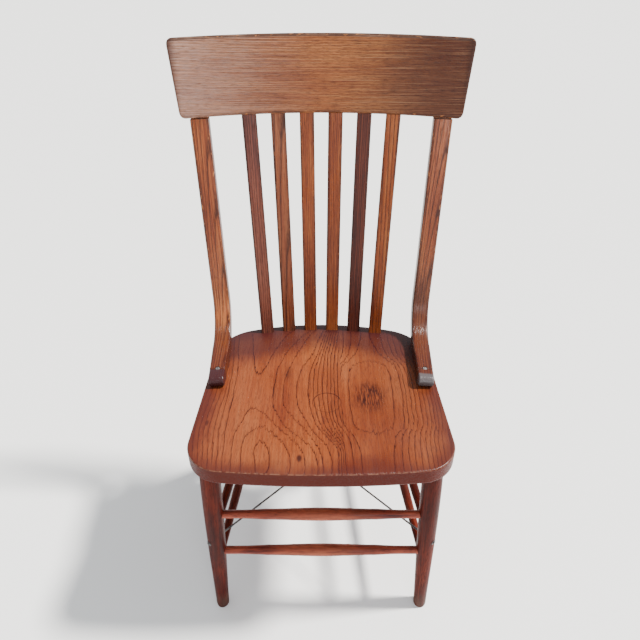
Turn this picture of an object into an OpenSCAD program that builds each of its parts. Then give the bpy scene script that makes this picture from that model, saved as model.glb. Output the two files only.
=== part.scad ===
// Oak side chair: dished seat of glued boards, bent back posts, six slats,
// curved crest rail, turned legs and stretchers, and two crossed steel brace wires.
// Millimetres. X is across the chair, +Y points to its back, +Z is up, the floor is z = 0.

/* [Seat] */
// Height of the seat's rim above the floor
seat_h = 450; // [430:5:460]
// Half of the seat's width near its front
seat_half_w = 219; // [214:0.5:226]
// Thickness of the seat boards
seat_t = 32; // [30:1:36]
// Depth of the dished hollow
dish_depth = 7; // [4:1:9]

/* [Back] */
// Angle that the slats, posts and crest rail lean back
lean = 10; // [8:1:12]
// Number of slats
slat_count = 6; // [4:1:6]
// Width of a slat
slat_w = 25.5; // [20:0.5:27]
// Thickness of a slat
slat_t = 11; // [9:0.5:12]
// Width of a bent post, across the chair
post_w = 32; // [28:0.5:33]
// Width of a bent post at its toe
toe_w = 27.5; // [24:0.5:30]
// Thickness of a bent post
post_t = 22; // [20:1:24]

/* [Crest rail] */
// Height of the crest rail at its middle
crest_h = 124; // [110:1:130]
// Thickness of the crest rail
crest_t = 20; // [18:1:22]
// Radius of the crest rail's concave front
crest_r = 1250; // [1100:50:1500]

/* [Legs] */
// Largest radius of a leg
leg_r = 17.8; // [16:0.2:18]
// Radius of a leg just above its foot
foot_r = 12.5; // [11.5:0.1:13]
// Radius at the ends of a stretcher
rung_end_r = 7.5; // [6.5:0.1:7.8]
// Radius at the middle of a front stretcher
rung_mid_r = 11.4; // [9:0.1:12]
// Radius at the middle of a side or rear stretcher
side_mid_r = 9.4; // [8:0.1:11]
// Radius of a steel brace wire
wire_r = 1.8; // [1.5:0.1:2.5]

/* [Hidden] */
$fn = 64;
eps = 0.1;              // radial clearance of a glued joint
far = 2000;             // larger than the chair, for trimming blocks

// Seat outline: on each side, two arcs joined by a straight edge that tapers to the back
seat_back_half = 208;   // half of its width where the back corners begin
seat_front = -204;
seat_back = 190;
front_bow_r = 1800;
back_bow_r = 520;
front_corner_r = 60;
back_corner_r = 90;
seat_under = seat_h - seat_t;
seams = [-far, -172, 36, 108, far]; // glue lines between the boards
dish_r = 1500;
dish_at = [48, 2];       // middle of one of the two overlapping hollows

// Slats stand on an arc near the seat's back edge
slat_base_y = 175;
slat_base_r = 570;
slat_base_half = 110.5;
slat_top_half = 126;
slat_tenon = 20;
slat_turn_r = 900;
slat_edge_r = 2.5;

// Crest rail
crest_y = 238.6;
crest_z = 868;
crest_low_half = 241;
crest_top_half = 252;
crest_rise = 8;         // how much its middle stands above its ends
crest_corner_r = 10;

// Bent posts
post_x = 190;
post_tilt = 1.6;        // outward lean
post_turn = 2.4;        // how much the toes turn in
nose_y = -9;
taper_y = 90;           // where a post reaches its full width
groove_y = 22;
groove_depth = 2;
bend_r = 70;            // inside radius of the bend
post_front_y = 225.6;   // front face where the crest rail begins
tongue_t = 12;          // thickness of the lap behind the crest rail
tongue_len = 88;
arc_steps = 20;

// Legs: [x, y] on the floor and at the seat's underside, for the right-hand side
front_foot = [202.5, -167];
front_top = [188, -144];
rear_foot = [170, 235];
rear_top = [146, 135];
leg_tenon_r = 12.5;
leg_tenon = 22;
leg_swell_z = 330;      // height of the largest radius
leg_top_r = 16.3;
leg_stations = 14;

// Heights at which stretchers and wires cross the leg axes
front_rungs = [277, 174];
side_rungs = [232, 140];
rear_rung = 205;
wire_z_front = 212;
wire_z_rear = 224;
// Swelling of a stretcher with its faint shoulder and bead: [share of the half length from
// its middle, share of the swelling from its end radius to its full one]
rung_shape = [[1, 0], [0.76, 0], [0.53, 0.44], [0.51, 0.5], [0.48, 0.48],
              [0.29, 0.72], [0.26, 0.82], [0.23, 0.8], [0.08, 1], [0, 1]];
washer_r = 5.5;
washer_t = 1.2;

// Screws
screw_head_r = 4.2;
screw_head_h = 2.6;
screw_shank_r = 2.2;
toe_screw_y = 23;
toe_screw_len = 38;
heel_screw_y = 74;
heel_screw_len = 44;
crest_screw_v = [22, 66]; // heights above the crest rail's lower edge
crest_screw_len = 20;

boards = ["seat_board_left", "seat_board_centre_left", "seat_board_centre_right", "seat_board_right"];
slats = [for (i = [1:slat_count]) str("slat_", i)];
sides = ["left", "right"];

// The origin is the middle of the footprint of the bounding box
crest_back_y = crest_y + crest_h * sin(lean) + crest_t * cos(lean);
centre_y = (seat_front + crest_back_y) / 2;

// ---------- helpers ----------

// Points of an arc, from angle a to angle b
function arc(c, r, a, b, n = 12) =
    [for (i = [0:n]) c + r * [cos(a + (b - a) * i / n), sin(a + (b - a) * i / n)]];

function lerp(a, b, t) = a + (b - a) * t;

// A point on a leg's axis at height z: side is -1 or 1
function on_leg(foot, top, z, side = 1) =
    let (p = lerp(foot, top, z / seat_under)) [side * p[0], p[1], z];

// Puts a child that stands on +Z along the line from a to b. The quarter turn about its own
// axis sets a round child's seam to the side of the line's lean, where level cuts cross it
// squarely
module along(a, b) {
    d = b - a;
    translate(a) rotate([0, acos(d[2] / norm(d)), atan2(d[1], d[0])]) rotate(90) children();
}

module mirrored(side) {
    if (side < 0) mirror([1, 0, 0]) children(); else children();
}

// Moves a child from the seat's own middle to the model's origin
module place() {
    translate([0, -centre_y, 0]) children();
}

// ---------- seat ----------

// Half outline of the seat from the middle of its front to the middle of its back
function half_outline() =
    let (fx = seat_half_w - front_corner_r,
         fa = asin(fx / (front_bow_r - front_corner_r)),
         fy = seat_front + front_bow_r - (front_bow_r - front_corner_r) * cos(fa),
         bx = seat_back_half - back_corner_r,
         ba = asin(bx / (back_bow_r - back_corner_r)),
         by = seat_back - back_bow_r + (back_bow_r - back_corner_r) * cos(ba),
         side = atan2(by - fy, bx - fx)
                - acos((front_corner_r - back_corner_r) / norm([bx - fx, by - fy])))
    concat(arc([0, seat_front + front_bow_r], front_bow_r, -90, -90 + fa, 5),
           arc([fx, fy], front_corner_r, -90 + fa, side),
           arc([bx, by], back_corner_r, side, 90 - ba),
           arc([0, seat_back - back_bow_r], back_bow_r, 90 - ba, 90, 8));

module seat_outline() {
    h = half_outline();
    n = len(h);
    left = [for (i = [n - 2:-1:1]) [-h[i][0], h[i][1]]];
    // the arcs share their end points, which are dropped here
    pts = concat(h, left);
    polygon([for (i = [0:len(pts) - 1]) if (i == 0 || norm(pts[i] - pts[i - 1]) > 0.01) pts[i]]);
}

module dish() {
    for (s = [-1, 1])
        translate([s * dish_at[0], dish_at[1], seat_h + dish_r - dish_depth])
            sphere(r = dish_r, $fn = 180);
}

module seat_board(i) {
    color("chocolate") difference() {
        intersection() {
            translate([0, 0, seat_under]) linear_extrude(seat_t) seat_outline();
            translate([seams[i], -far / 2, 0]) cube([seams[i + 1] - seams[i], far, far]);
        }
        dish();
        for (k = [0:slat_count - 1]) slat_blank(k, eps);
        for (s = [-1, 1]) mirrored(s) {
            leg_socket(front_foot, front_top);
            leg_socket(rear_foot, rear_top);
            toe_screw_axis() screw_hole(toe_screw_len);
            heel_screw_axis() screw_hole(heel_screw_len);
        }
    }
}

// ---------- back ----------

function slat_x(k, half) = (2 * k / (slat_count - 1) - 1) * half;
function slat_base(k) =
    let (x = slat_x(k, slat_base_half))
    [x, slat_base_y - slat_base_r + sqrt(slat_base_r ^ 2 - x ^ 2), seat_h];

// A point in the crest rail's leaning frame: u across, v up its face, w towards its back
function crest_point(u, v, w) =
    [u, crest_y + v * sin(lean) + w * cos(lean), crest_z + v * cos(lean) - w * sin(lean)];
function crest_bow(u) = sqrt(crest_r ^ 2 - u ^ 2) - crest_r;
function crest_low_v(u) = -crest_rise * (u / crest_low_half) ^ 2;
function slat_head(k) =
    let (x = slat_x(k, slat_top_half))
    crest_point(x, crest_low_v(x), crest_bow(x) + crest_t / 2);

module rounded_bar(w, t, r) {
    polygon(concat(arc([w / 2 - r, t / 2 - r], r, 0, 90, 3), arc([r - w / 2, t / 2 - r], r, 90, 180, 3),
                   arc([r - w / 2, r - t / 2], r, 180, 270, 3), arc([w / 2 - r, r - t / 2], r, 270, 360, 3)));
}

// A slat with its two plain tenons, or with grow > 0 the mortises that hold them
module slat_blank(k, grow = 0) {
    a = slat_base(k);
    b = slat_head(k);
    d = b - a;
    turn = asin(slat_x(k, slat_base_half) / slat_turn_r);
    translate(a) rotate([0, acos(d[2] / norm(d)), atan2(d[1], d[0])])
        rotate(-atan2(d[1], d[0]) - turn)
            translate([0, 0, -slat_tenon - grow])
                linear_extrude(norm(d) + 2 * (slat_tenon + grow))
                    rounded_bar(slat_w + 2 * grow, slat_t + 2 * grow, slat_edge_r);
}

module slat(k) {
    color("sienna") slat_blank(k);
}

// Crest rail in its own leaning frame
module crest_frame() {
    translate([0, crest_y, crest_z]) rotate([-lean, 0, 0]) children();
}

// Point on the rail's upper edge (top = 1) or lower edge (top = 0), t from -1 to 1 across
function crest_edge(top, t) =
    [t * lerp(crest_low_half, crest_top_half, top), top * crest_h - crest_rise * t ^ 2];

module crest_face() {
    r = crest_corner_r;
    slope = atan((crest_top_half - crest_low_half) / crest_h);
    inset = 1.1 * r;
    span = 1 - inset / crest_top_half;
    right_low = crest_edge(0, 1) + [-r, r];
    right_top = crest_edge(1, 1) + [-r, -r];
    lower = [for (i = [-8:8]) crest_edge(0, i / 8 * span)];
    upper = [for (i = [8:-1:-8]) crest_edge(1, i / 8 * span)];
    polygon(concat(
        lower,
        arc(right_low, r, -80, -slope, 6),
        arc(right_top, r, -slope, 80, 6),
        upper,
        [for (p = arc(right_top, r, 80, -slope, 6)) [-p[0], p[1]]],
        [for (p = arc(right_low, r, -slope, -80, 6)) [-p[0], p[1]]]));
}

module crest_rail() {
    color("peru") difference() {
        crest_frame() intersection() {
            rotate([90, 0, 0]) translate([0, 0, -far / 2]) linear_extrude(far) crest_face();
            translate([0, -crest_r, -far / 4]) difference() {
                cylinder(r = crest_r + crest_t, h = far / 2, $fn = 360);
                translate([0, 0, -1]) cylinder(r = crest_r, h = far / 2 + 2, $fn = 360);
            }
        }
        for (k = [0:slat_count - 1]) slat_blank(k, eps);
        for (s = [-1, 1]) mirrored(s) post_frame() {
            lap_housing();
            for (v = crest_screw_v) crest_screw_axis(v) screw_hole(crest_screw_len);
        }
    }
}

// A child in the post's own upright frame, turned and tilted about its foot: x = 0 is its middle
module post_frame() {
    translate([post_x, 0, seat_h]) rotate([0, post_tilt, 0]) rotate(-post_turn)
        translate([0, 0, -seat_h]) children();
}

// Side view of a bent post, as [y, z]
post_top_z = crest_z + tongue_len * cos(lean);
lap_y = (post_t - tongue_t) / cos(lean);
post_back = post_t / cos(lean);
shoulder_z = crest_z - 6;
tongue_bevel = 7;
function front_y(z) = post_front_y - (crest_z - z) * tan(lean);

function post_profile() =
    let (foot_top = seat_h + post_t,
         below = seat_h - 3,
         cz = foot_top + bend_r,
         cy = front_y(cz) - bend_r / cos(lean),
         nose = post_t / 2)
    concat(
        // rounded nose, from below
        arc([nose_y + nose, seat_h + nose], nose, 250, 100, 8),
        // V groove behind the nose
        [[groove_y - groove_depth, foot_top],
         [groove_y, foot_top - groove_depth],
         [groove_y + groove_depth, foot_top]],
        // inside of the bend, front face, shoulder and tongue
        arc([cy, cz], bend_r, 270, 360 - lean, arc_steps),
        [[front_y(shoulder_z), shoulder_z],
         [front_y(shoulder_z) + lap_y, shoulder_z],
         [front_y(post_top_z) + lap_y, post_top_z],
         [front_y(post_top_z) + post_back - tongue_bevel, post_top_z],
         [front_y(post_top_z - tongue_bevel) + post_back, post_top_z - tongue_bevel]],
        // outside of the bend and the heel
        arc([cy, cz], bend_r + post_t, 360 - lean, 270, arc_steps),
        [[cy, below], [nose_y + nose, below]]);

module post_slab(points, w) {
    rotate([90, 0, 90]) translate([0, 0, -w / 2]) linear_extrude(w) polygon(points);
}

// The post's shape with its toe narrowed in plan
module post_body() {
    half_toe = toe_w / 2;
    half = post_w / 2 + 1;
    widening = (post_w - toe_w) / 2 / (taper_y - nose_y);
    full_y = taper_y + 1 / widening;
    intersection() {
        post_slab(post_profile(), post_w);
        linear_extrude(far) polygon([[-half_toe, nose_y], [half_toe, nose_y], [half, full_y], [half, far],
                                     [-half, far], [-half, full_y]]);
    }
}

// Space that the tongue takes in the back of the crest rail
module lap_housing() {
    low = shoulder_z - 20;
    high = post_top_z + eps;
    post_slab([[front_y(low) + lap_y - eps, low], [front_y(low) + far, low],
               [front_y(high) + far, high], [front_y(high) + lap_y - eps, high]], post_w + 2 * eps);
}

module post(side) {
    color("sienna") mirrored(side) difference() {
        intersection() {
            post_frame() post_body();
            translate([-far / 2, -far / 2, seat_h]) cube(far);
        }
        toe_screw_axis() screw_hole(toe_screw_len);
        heel_screw_axis() screw_hole(heel_screw_len);
        post_frame() for (v = crest_screw_v) crest_screw_axis(v) screw_hole(crest_screw_len);
    }
}

// ---------- legs, stretchers and wires ----------

// Radius of a leg at height z: a long taper, fullest near its top
function leg_radius(z) = z < leg_swell_z
    ? foot_r + (leg_r - foot_r) * sin(90 * z / leg_swell_z) ^ 1.3
    : leg_r - (leg_r - leg_top_r) * ((z - leg_swell_z) / (seat_under - leg_swell_z)) ^ 2;

function leg_profile() = concat(
    [[0, -5], [foot_r - 5, -5], [foot_r - 2.4, -2], [foot_r - 0.7, 3], [foot_r, 10]],
    [for (i = [1:leg_stations]) let (z = seat_under * i / leg_stations) [leg_radius(z), z]],
    [[leg_top_r, seat_under + 15], [0, seat_under + 15]]);

module leg_socket(foot, top) {
    along(on_leg(foot, top, 0), on_leg(foot, top, seat_under))
        translate([0, 0, seat_under - 10])
            cylinder(r = leg_tenon_r + eps, h = leg_tenon + 10 + eps + axis_gain(foot, top));
}

// How much longer a leaning leg's axis is than its height
function axis_gain(foot, top) =
    norm(on_leg(foot, top, seat_under) - on_leg(foot, top, 0)) - seat_under;

module leg_blank(foot, top) {
    a = on_leg(foot, top, 0);
    b = on_leg(foot, top, seat_under);
    intersection() {
        along(a, b) rotate_extrude() polygon(leg_profile());
        translate([-far / 2, -far / 2, 0]) cube([far, far, seat_under]);
    }
    along(a, b) translate([0, 0, seat_under - 12])
        cylinder(r = leg_tenon_r, h = leg_tenon + 12 + axis_gain(foot, top));
}

// Ends of each stretcher on the leg axes
function front_ends(z) = [on_leg(front_foot, front_top, z, -1), on_leg(front_foot, front_top, z)];
function side_ends(z, side) =
    [on_leg(front_foot, front_top, z, side), on_leg(rear_foot, rear_top, z, side)];
function rear_ends() = [on_leg(rear_foot, rear_top, rear_rung, -1), on_leg(rear_foot, rear_top, rear_rung)];

// Ends of a brace wire on the axes of two opposite legs: level is -1 for the lower wire
function wire_ends(level) =
    [on_leg(front_foot, front_top, wire_z_front + level * (wire_r + 0.2), level),
     on_leg(rear_foot, rear_top, wire_z_rear + level * (wire_r + 0.2), -level)];

module rung_bore(ends, at = 0) {
    along(ends[at], ends[1 - at]) translate([0, 0, -1]) cylinder(r = rung_end_r + eps, h = 40);
}

// Hole for a wire, with a flat seat for its washer on the outside of the leg
module wire_bore(ends, at, r_leg) {
    along(ends[at], ends[1 - at]) {
        translate([0, 0, -40]) cylinder(r = wire_r + eps, h = 80);
        translate([0, 0, -r_leg - 30]) cylinder(r = washer_r + 0.3, h = 31);
    }
}

function washer_seat(at) = leg_radius(at == 0 ? wire_z_front : wire_z_rear) - 1;

module leg(foot, top, side, front) {
    color("brown") difference() {
        mirrored(side) leg_blank(foot, top);
        for (z = side_rungs) rung_bore(side_ends(z, side), front ? 0 : 1);
        if (front)
            for (z = front_rungs) rung_bore(front_ends(z), side < 0 ? 0 : 1);
        else
            rung_bore(rear_ends(), side < 0 ? 0 : 1);
        wire_bore(wire_ends(front ? side : -side), front ? 0 : 1, washer_seat(front ? 0 : 1));
    }
}

// Half profile of a turned stretcher whose half length is h and whose full radius is mid
function rung_profile(h, mid) = concat(
    [[0, 0]], [for (p = rung_shape) [lerp(rung_end_r, mid, p[1]), h * (1 - p[0])]]);

module rung(ends, mid) {
    len = norm(ends[1] - ends[0]);
    half = rung_profile(len / 2, mid);
    n = len(half);
    color("firebrick") along(ends[0], ends[1])
        rotate_extrude() polygon(concat(half, [for (i = [n - 2:-1:0]) [half[i][0], len - half[i][1]]]));
}

module front_stretcher(i) { rung(front_ends(front_rungs[i]), rung_mid_r); }
module side_stretcher(i, side) { rung(side_ends(side_rungs[i], side), side_mid_r); }
module rear_stretcher() { rung(rear_ends(), side_mid_r); }

module brace_wire(level) {
    ends = wire_ends(level);
    out = [washer_seat(0) + washer_t, washer_seat(1) + washer_t];
    len = norm(ends[1] - ends[0]);
    color("dimgray") along(ends[0], ends[1]) {
        translate([0, 0, -out[0] - 1]) cylinder(r = wire_r, h = len + out[0] + out[1] + 2);
        for (end = [-out[0] - 2.2, len + out[1]])
            translate([0, 0, end]) cylinder(r = wire_r + 1.2, h = 2.2);
    }
}

module washers() {
    color("dimgray") for (level = [-1, 1]) for (at = [0, 1]) {
        ends = wire_ends(level);
        along(ends[at], ends[1 - at]) translate([0, 0, -washer_seat(at) - washer_t]) difference() {
            cylinder(r = washer_r, h = washer_t);
            translate([0, 0, -1]) cylinder(r = wire_r + eps, h = washer_t + 2);
        }
    }
}

// ---------- screws ----------

// Slotted round-head screw, with its head's seat at z = 0 and its shank below
module screw(length) {
    difference() {
        union() {
            rotate_extrude() polygon([[0, 0], [screw_head_r, 0], [screw_head_r, 0.8],
                                      [screw_head_r * 0.75, 2], [0, screw_head_h]]);
            translate([0, 0, -length]) cylinder(r = screw_shank_r, h = length + 1);
        }
        translate([-screw_head_r, -0.5, 1.4]) cube([2 * screw_head_r, 1, 5]);
    }
}

module screw_hole(length) {
    translate([0, 0, -length - 1]) cylinder(r = screw_shank_r + eps, h = length + 1);
    cylinder(r = screw_head_r + 0.4, h = 20);
}

module toe_screw_axis() {
    translate([post_x, 0, seat_h + post_t - 2]) rotate(-post_turn) translate([0, toe_screw_y, 0]) children();
}

module heel_screw_axis() {
    translate([post_x, 0, seat_under + 3]) rotate(-post_turn)
        translate([0, heel_screw_y, 0]) rotate([180, 0, 0]) children();
}

// v is the height above the crest rail's lower edge
module crest_screw_axis(v) {
    z = crest_z + v * cos(lean);
    translate([0, front_y(z) + post_back, z]) rotate([lean - 90, 0, 0])
        translate([0, 0, -1.5]) children();
}

module toe_screws() {
    color("dimgray") for (s = [-1, 1]) mirrored(s) toe_screw_axis() rotate(70) screw(toe_screw_len);
}

module heel_screws() {
    color("dimgray") for (s = [-1, 1]) mirrored(s) heel_screw_axis() screw(heel_screw_len);
}

module rail_screws() {
    color("dimgray") for (s = [-1, 1]) mirrored(s) post_frame()
        for (v = crest_screw_v) crest_screw_axis(v) rotate(v) screw(crest_screw_len);
}

// ---------- nodes ----------

for (i = [0:3])
    place() seat_board(i);
for (k = [0:slat_count - 1])
    place() slat(k);
for (i = [0, 1]) {
    name = sides[i];
    side = 2 * i - 1;
    place() post(side);
    place() leg(front_foot, front_top, side, true);
    place() leg(rear_foot, rear_top, side, false);
    place() side_stretcher(0, side);
    place() side_stretcher(1, side);
}
place() crest_rail();
place() front_stretcher(0);  // stretcher_front_upper
place() front_stretcher(1);  // stretcher_front_lower
place() rear_stretcher();  // stretcher_rear
place() brace_wire(-1);  // brace_wire_low
place() brace_wire(1);  // brace_wire_high
place() washers();  // brace_washers
place() toe_screws();  // post_toe_screws
place() heel_screws();  // post_heel_screws
place() rail_screws();  // crest_screws
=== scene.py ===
"""Looks of an antique oak side chair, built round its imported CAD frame.

Metres, in the frame's own axes: X across the chair, +Y towards its back, +Z up, floor at z = 0.
Each wooden piece carries a point attribute, "grain", that gives its place in its own board:
(across, along, through) the grain. The materials read it in millimetres.
"""

import math

import bmesh
import bpy
import numpy as np
from mathutils import Matrix, Vector


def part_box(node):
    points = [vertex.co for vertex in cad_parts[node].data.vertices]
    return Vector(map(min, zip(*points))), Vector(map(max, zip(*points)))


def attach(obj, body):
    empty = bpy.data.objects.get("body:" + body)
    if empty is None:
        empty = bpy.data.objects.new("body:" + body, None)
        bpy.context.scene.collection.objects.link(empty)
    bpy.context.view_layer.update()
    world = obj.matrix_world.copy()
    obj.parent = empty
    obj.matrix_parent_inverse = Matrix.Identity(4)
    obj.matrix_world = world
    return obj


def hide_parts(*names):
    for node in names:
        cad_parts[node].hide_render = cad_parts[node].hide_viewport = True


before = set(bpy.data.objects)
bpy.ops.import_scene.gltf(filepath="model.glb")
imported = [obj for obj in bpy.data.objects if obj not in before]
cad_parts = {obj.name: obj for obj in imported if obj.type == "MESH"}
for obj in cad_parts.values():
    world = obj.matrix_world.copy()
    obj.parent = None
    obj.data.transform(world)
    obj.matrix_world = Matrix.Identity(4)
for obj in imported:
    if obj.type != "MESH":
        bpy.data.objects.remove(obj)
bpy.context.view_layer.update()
mm = 0.001
sharp_angle = math.radians(40)   # the sharpest edge that is smoothed
weld = 0.001 * mm   # points closer than this are one

SIDES = {"left": -1, "right": 1}
BOARDS = ["left", "centre_left", "centre_right", "right"]
SLATS = [f"slat_{i + 1}" for i in range(6)]

# ---------- sizes ----------

board_lows, board_highs = zip(*(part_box(f"seat_board_{name}") for name in BOARDS))
seat_low = Vector([min(low[i] for low in board_lows) for i in range(3)])
seat_high = Vector([max(high[i] for high in board_highs) for i in range(3)])
seat_mid_y = (seat_low.y + seat_high.y) / 2
heart_y = seat_mid_y + 7 * mm
seat_top = seat_high.z
seat_under = seat_low.z
front_bow_r, back_bow_r = 1800 * mm, 520 * mm
front_corner_r, back_corner_r = 60 * mm, 90 * mm
seat_back_half = 208 * mm
arris_r, under_arris_r = 3 * mm, 4.5 * mm
rim_wear = 0.5 * mm
dish_depth, dish_r = 7 * mm, 1500 * mm
dish_x, dish_y = 48 * mm, 9 * mm

lean = math.radians(10)
crest_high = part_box("crest_rail")[1]
crest_h, crest_t, crest_r = 124 * mm, 20 * mm, 1250 * mm
crest_rise = 8 * mm
crest_corner_r, crest_edge_r = 10 * mm, 3.6 * mm
crest_low_half, crest_top_half = 241 * mm, crest_high.x
crest_z = crest_high.z - crest_h * math.cos(lean)
crest_y = crest_high.y - crest_h * math.sin(lean) - crest_t * math.cos(lean)

post_w, post_t, toe_w = 32 * mm, 22 * mm, 27.5 * mm
post_edge_r = 3.4 * mm
post_x = 190 * mm
post_tilt, post_turn = math.radians(1.6), math.radians(2.4)
post_bend_r = 70 * mm
post_top_z = crest_z + 88 * mm * math.cos(lean)
post_nose_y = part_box("post_right")[0].y + toe_w / 2 * math.sin(post_turn)
post_groove_y = post_nose_y + 31 * mm
post_taper_y = post_nose_y + 99 * mm
post_front_y = crest_y - 13 * mm
tongue_t = 12 * mm
shoulder_gap = 6 * mm    # between a post's shoulder and the rail
post_embed = 2 * mm      # how far a post's toe is let into the seat

slat_w, slat_t, slat_edge_r = 25.5 * mm, 11 * mm, 2.6 * mm

foot_r, leg_r, leg_top_r = 12.5 * mm, 17.8 * mm, 16.3 * mm
leg_swell_z, leg_tenon_l = 330 * mm, 8 * mm
rung_end_r = 7.5 * mm
rung_full_r = {"front": 11.4 * mm, "side": 9.4 * mm}
# Swelling of a stretcher: (share of the half length from its middle, share of the swelling)
rung_shape = [(1, 0), (0.76, 0), (0.62, 0.2), (0.53, 0.44), (0.51, 0.5), (0.48, 0.47),
              (0.38, 0.58), (0.29, 0.72), (0.26, 0.82), (0.23, 0.8), (0.15, 0.93), (0.06, 1), (0, 1)]
wire_r = 1.8 * mm
screw_head_h, screw_bore_r = 2.6 * mm, 4.6 * mm


# ---------- mesh helpers ----------

def arc(centre, radius, start, end, steps):
    """Points of an arc, angles in degrees."""
    angles = np.radians(np.linspace(start, end, steps + 1))
    return [(centre[0] + radius * math.cos(a), centre[1] + radius * math.sin(a)) for a in angles]


def resampled(points, spacing):
    """A closed outline with points at an even spacing."""
    p = np.array(points + points[:1])
    lengths = np.hypot(*np.diff(p, axis=0).T)
    p = p[np.concatenate([[True], lengths > 1e-7])]
    at = np.concatenate([[0], np.cumsum(np.hypot(*np.diff(p, axis=0).T))])
    even = np.linspace(0, at[-1], int(at[-1] / spacing) + 1)[:-1]
    return np.column_stack([np.interp(even, at, p[:, 0]), np.interp(even, at, p[:, 1])])


def outward_normals(outline):
    """Unit normals of a closed outline that runs anticlockwise."""
    step = np.roll(outline, -1, axis=0) - np.roll(outline, 1, axis=0)
    normal = np.column_stack([step[:, 1], -step[:, 0]])
    return normal / np.linalg.norm(normal, axis=1)[:, None]


def loft(name, rings):
    """A closed mesh through rings of points, each an (n, 3) array, capped at both ends."""
    n = len(rings[0])
    verts = np.concatenate(rings)
    faces = []
    for i in range(len(rings) - 1):
        for j in range(n):
            k = (j + 1) % n
            faces.append((i * n + j, i * n + k, (i + 1) * n + k, (i + 1) * n + j))
    faces.append(tuple(range(n - 1, -1, -1)))
    faces.append(tuple((len(rings) - 1) * n + j for j in range(n)))
    mesh = bpy.data.meshes.new(name)
    mesh.from_pydata(verts.tolist(), [], faces)
    bm = bmesh.new()
    bm.from_mesh(mesh)
    bmesh.ops.remove_doubles(bm, verts=bm.verts, dist=weld)
    bmesh.ops.recalc_face_normals(bm, faces=bm.faces)
    bm.to_mesh(mesh)
    bm.free()
    return mesh


def sliced(mesh, planes):
    """Cuts a mesh by planes, each (point, normal), keeps what lies against each normal, and closes it."""
    bm = bmesh.new()
    bm.from_mesh(mesh)
    for point, normal in planes:
        cut = bmesh.ops.bisect_plane(
            bm, geom=bm.verts[:] + bm.edges[:] + bm.faces[:], dist=weld,
            plane_co=point, plane_no=normal, clear_outer=True)
        edges = [g for g in cut["geom_cut"] if isinstance(g, bmesh.types.BMEdge)]
        bmesh.ops.contextual_create(bm, geom=edges)
    bmesh.ops.recalc_face_normals(bm, faces=bm.faces)
    bm.to_mesh(mesh)
    bm.free()
    return mesh


def coordinates(mesh):
    co = np.empty(len(mesh.vertices) * 3, np.float32)
    mesh.vertices.foreach_get("co", co)
    return co.reshape(-1, 3).astype(float)


def set_attribute(mesh, name, values):
    kind = "FLOAT_VECTOR" if values.ndim == 2 else "FLOAT"
    field = "vector" if values.ndim == 2 else "value"
    attribute = mesh.attributes.new(name, kind, "POINT")
    attribute.data.foreach_set(field, values.astype(np.float32).ravel())


def placed(name, data):
    obj = bpy.data.objects.new(name, data)
    bpy.context.scene.collection.objects.link(obj)
    return obj


def piece(name, mesh, material, nodes):
    """Puts a smooth mesh with its material in the scene, in place of CAD nodes."""
    obj = placed(name, mesh)
    mesh.materials.append(material)
    mesh.shade_smooth()
    mesh.set_sharp_from_angle(angle=sharp_angle)
    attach(obj, "root")
    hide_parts(*nodes)


def node_points(node):
    return coordinates(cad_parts[node].data)


def axis_of(node):
    """Ends of a straight piece's axis, and unit vectors along it and across it."""
    points = np.unique(node_points(node).round(6), axis=0)
    direction = np.linalg.svd(points - points.mean(0), full_matrices=False)[2][0]
    for _ in range(2):
        at = points @ direction
        ends = [points[at < at.min() + mm], points[at > at.max() - mm]]
        start, end = (e.min(0) / 2 + e.max(0) / 2 for e in ends)
        direction = (end - start) / np.linalg.norm(end - start)
    flat = ends[0] - start
    flat -= np.outer(flat @ direction, direction)
    across = np.linalg.svd(flat, full_matrices=False)[2][0]
    if direction[np.abs(direction).argmax()] < 0:
        start, end, direction = end, start, -direction
    if across[0] < 0:
        across = -across
    return start, end, direction, across


def in_frame(points, origin, across, along):
    """Places of points in a straight piece's own board."""
    through = np.cross(across, along)
    local = points - origin
    return np.column_stack([local @ across, local @ along, local @ through])


def smooth_curve(knots, x):
    """A monotone cubic through knots, each (x, value), at x."""
    kx, ky = (np.array(v, float) for v in zip(*sorted(knots)))
    slope = np.diff(ky) / np.diff(kx)
    m = np.concatenate([[0], np.where(slope[1:] * slope[:-1] > 0, (slope[1:] + slope[:-1]) / 2, 0), [0]])
    i = np.clip(np.searchsorted(kx, x) - 1, 0, len(slope) - 1)
    h = kx[i + 1] - kx[i]
    t = (x - kx[i]) / h
    return (ky[i] * (1 + 2 * t) * (1 - t) ** 2 + m[i] * h * t * (1 - t) ** 2
            + ky[i + 1] * t * t * (3 - 2 * t) + m[i + 1] * h * t * t * (t - 1))


def rounded_rectangle(half_a, half_t, radius):
    """Points (across, through) of a section with rounded corners and support points on its sides."""
    corners = []
    for start, (sa, st) in zip((0, 90, 180, 270), ((1, 1), (-1, 1), (-1, -1), (1, -1))):
        centre = (sa * (half_a - radius), st * (half_t - radius))
        corners.append(np.array(arc(centre, radius, start, start + 90, 5)))
    points = []
    for corner, following in zip(corners, corners[1:] + corners[:1]):
        points += list(corner)
        points += [corner[-1] * (1 - share) + following[0] * share for share in (0.06, 0.35, 0.65, 0.94)]
    return np.array(points)


def middle_of(points):
    return (points.min(0) + points.max(0)) / 2


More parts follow.
